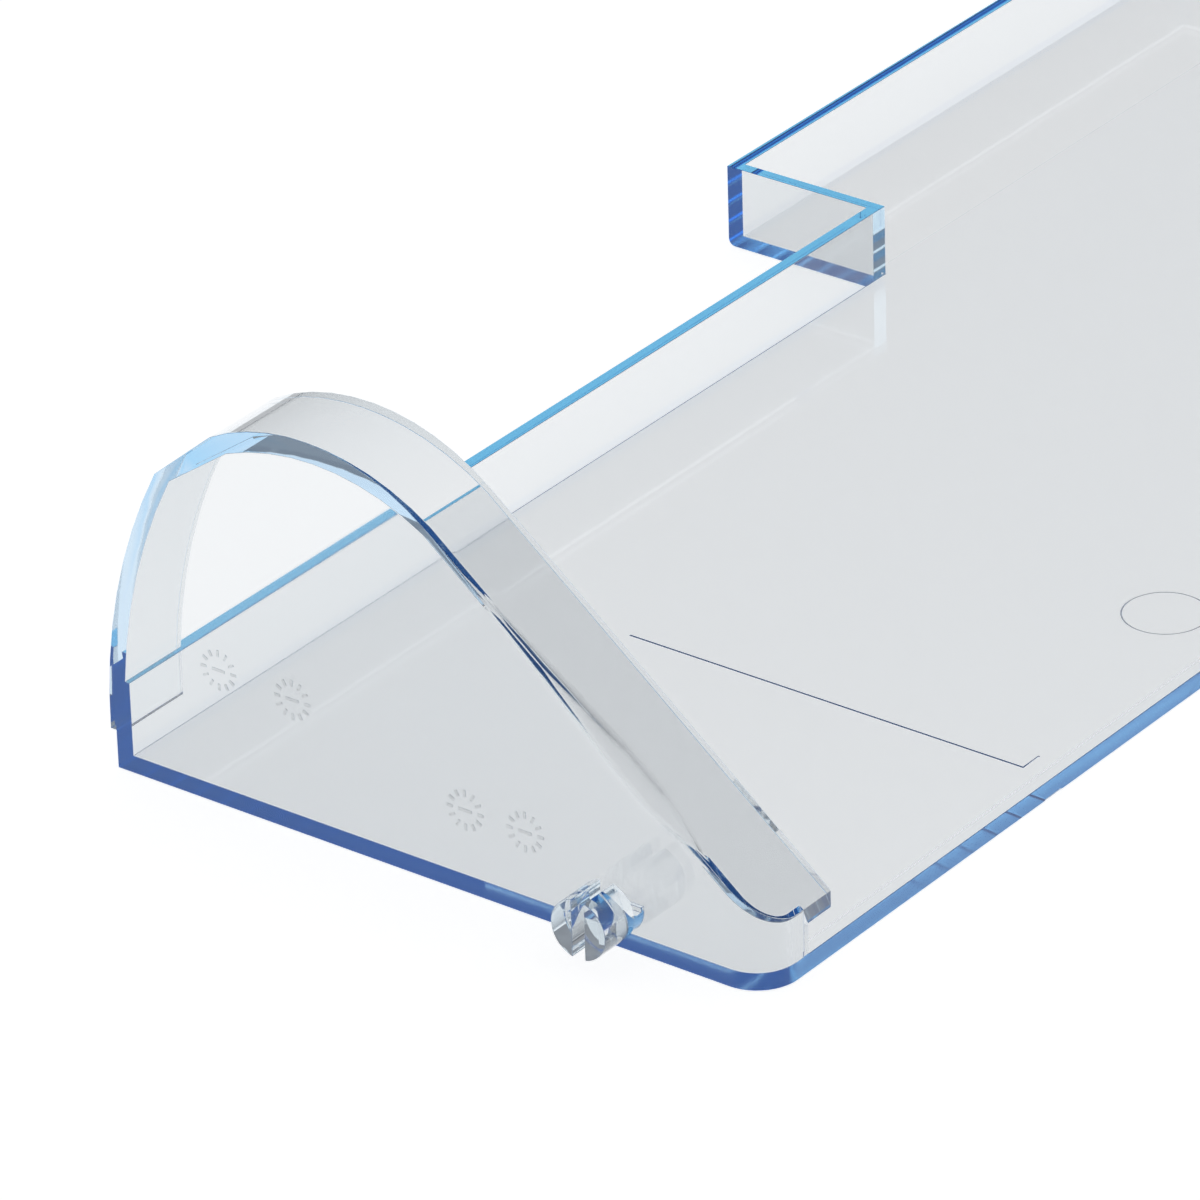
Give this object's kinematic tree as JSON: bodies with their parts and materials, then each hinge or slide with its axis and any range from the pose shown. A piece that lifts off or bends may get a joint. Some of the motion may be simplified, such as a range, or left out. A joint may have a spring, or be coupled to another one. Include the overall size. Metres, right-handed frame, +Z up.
{
  "type": "fridge chiller compartment door",
  "caption": "Clear moulded fridge chiller compartment door: flat panel, low back wall with finger grip, arched end cheeks with inward flanges and split pivot pins.",
  "frame": {"origin": "centre of the bounding box at the underside of the panel", "axes": "+X along the door, +Y towards the back wall and finger grip, +Z up from the panel into the tray side"},
  "size_m": [0.498, 0.137, 0.0611],
  "materials": {
    "clear_plastic": "clear, polished, faint blue tint"
  },
  "bodies": {
    "root": {"chiller_door": "clear_plastic"}
  },
  "joints": []
}
